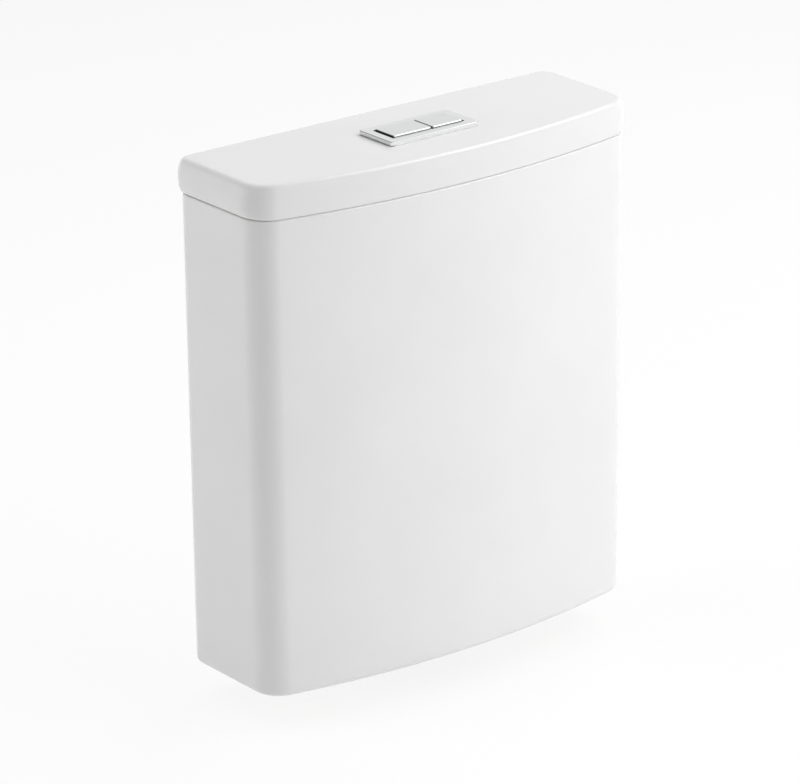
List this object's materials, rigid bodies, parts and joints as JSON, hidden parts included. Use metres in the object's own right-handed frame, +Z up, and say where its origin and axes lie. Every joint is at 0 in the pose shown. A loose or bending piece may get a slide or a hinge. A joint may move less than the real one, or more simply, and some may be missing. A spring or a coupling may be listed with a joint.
{
  "type": "toilet cistern",
  "caption": "Close-coupled ceramic toilet cistern with a bowed front, a lift-off lid, a chrome dual-flush plate, and the flush and fill valves inside.",
  "frame": {"origin": "axis of the flush outlet, at the plane the tank stands on", "axes": "+Z up, -Y towards the bowed front, +X to the right seen from the front"},
  "size_m": [0.3846, 0.1332, 0.4647],
  "materials": {
    "ceramic": "glossy white glaze",
    "plate_chrome": "polished plating",
    "key_chrome": "satin plating",
    "spring_steel": "drawn wire",
    "bolt_steel": "zinc-plated",
    "pin_steel": "ground",
    "black_rubber": "matte",
    "pale_foam": "soft closed-cell sheet",
    "foam_rubber": "closed-cell foam",
    "seal_rubber": "soft silicone",
    "white_plastic": "moulded",
    "grey_plastic": "moulded",
    "blue_plastic": "moulded"
  },
  "bodies": {
    "tank": {"tank_body": "ceramic", "valve_base": "white_plastic", "base_gasket": "black_rubber", "base_locknut": "white_plastic", "pan_seal": "foam_rubber", "valve_cage": "white_plastic", "lever_pin": "pin_steel", "fill_shank": "white_plastic", "shank_gasket": "black_rubber", "shank_locknut": "white_plastic", "fill_head": "white_plastic", "head_diaphragm": "black_rubber", "head_cap": "blue_plastic", "arm_pin": "pin_steel", "pan_bolts": "bolt_steel", "bolt_seals": "black_rubber", "bolt_washers": "bolt_steel", "bolt_nuts": "bolt_steel"},
    "lid": {"tank_lid": "ceramic", "button_bezel": "plate_chrome", "bezel_gasket": "pale_foam", "bezel_clamp": "white_plastic", "bezel_nut": "white_plastic", "full_key_spring": "spring_steel", "half_key_spring": "spring_steel"},
    "full_key": {"full_flush_key": "key_chrome", "full_push_rod": "white_plastic"},
    "half_key": {"half_flush_key": "key_chrome", "half_push_rod": "white_plastic"},
    "full_rocker": {"full_lever": "blue_plastic"},
    "half_rocker": {"half_lever": "blue_plastic"},
    "riser": {"overflow_riser": "grey_plastic", "flush_seal": "seal_rubber", "seal_retainer": "grey_plastic", "flush_float": "blue_plastic", "lift_yoke": "grey_plastic"},
    "half_lifter": {"half_float": "blue_plastic", "half_float_rod": "grey_plastic"},
    "fill_float": {"float_cup": "grey_plastic", "float_link": "pin_steel", "link_clip": "blue_plastic"},
    "fill_arm": {"float_arm": "blue_plastic"}
  },
  "joints": [
    {"name": "lid_lift", "type": "slide", "parent": "tank", "child": "lid", "axis": [0, 0, 1], "range_m": [0, 0.12]},
    {"name": "full_press", "type": "slide", "parent": "lid", "child": "full_key", "axis": [0, 0, -1], "range_m": [0, 0.007], "stiffness_N_per_m": 250, "springref_m": -0.004, "deforming": ["full_key_spring"]},
    {"name": "half_press", "type": "slide", "parent": "lid", "child": "half_key", "axis": [0, 0, -1], "range_m": [0, 0.007], "stiffness_N_per_m": 250, "springref_m": -0.004, "deforming": ["half_key_spring"]},
    {"name": "full_rock", "type": "hinge", "parent": "tank", "child": "full_rocker", "pos_m": [0, 0.013, 0.35], "axis": [1, 0, 0], "range_deg": [0, 25.1]},
    {"name": "half_rock", "type": "hinge", "parent": "tank", "child": "half_rocker", "pos_m": [0, 0.013, 0.35], "axis": [1, 0, 0], "range_deg": [0, 25.1]},
    {"name": "riser_lift", "type": "slide", "parent": "tank", "child": "riser", "axis": [0, 0, 1], "range_m": [0, 0.0117]},
    {"name": "half_lift", "type": "slide", "parent": "tank", "child": "half_lifter", "axis": [0, 0, 1], "range_m": [0, 0.0117]},
    {"name": "float_rise", "type": "slide", "parent": "tank", "child": "fill_float", "axis": [0, 0, 1], "range_m": [0, 0.01]},
    {"name": "arm_swing", "type": "hinge", "parent": "tank", "child": "fill_arm", "pos_m": [0.1253, 0.0181, 0.33754], "axis": [-1, 0, 0], "range_deg": [0, 19.1]}
  ],
  "couplings": [
    {"joint": "full_rock", "follows": "full_press", "rad_per_m": 62.5},
    {"joint": "riser_lift", "follows": "full_press", "ratio": 1.6687},
    {"joint": "half_rock", "follows": "half_press", "rad_per_m": 62.5},
    {"joint": "half_lift", "follows": "half_press", "ratio": 1.6687},
    {"joint": "arm_swing", "follows": "float_rise", "rad_per_m": 33.333}
  ]
}
